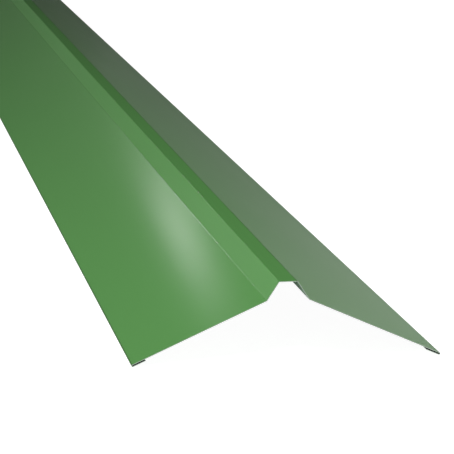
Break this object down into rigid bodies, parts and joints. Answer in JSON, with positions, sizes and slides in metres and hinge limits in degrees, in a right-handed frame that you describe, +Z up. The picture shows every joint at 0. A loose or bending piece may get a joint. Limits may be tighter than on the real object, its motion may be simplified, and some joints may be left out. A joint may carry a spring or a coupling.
{
  "type": "roof ridge cap",
  "caption": "Folded green coated-steel ridge cap with a raised trapezoid crest, sloping flanges and open hems, for weathering the ridge of a roof.",
  "frame": {"origin": "centre of the cap's footprint, level with the undersides of the two hem folds that it stands on", "axes": "+Z up out of the crest, Y along the ridge, X across it from one hem to the other"},
  "size_m": [0.2496, 3, 0.0646],
  "materials": {
    "coated_steel": "satin green coil coating on the weather side, thin grey-green backing coat underneath"
  },
  "bodies": {
    "root": {"ridge_cap": "coated_steel"}
  },
  "joints": []
}
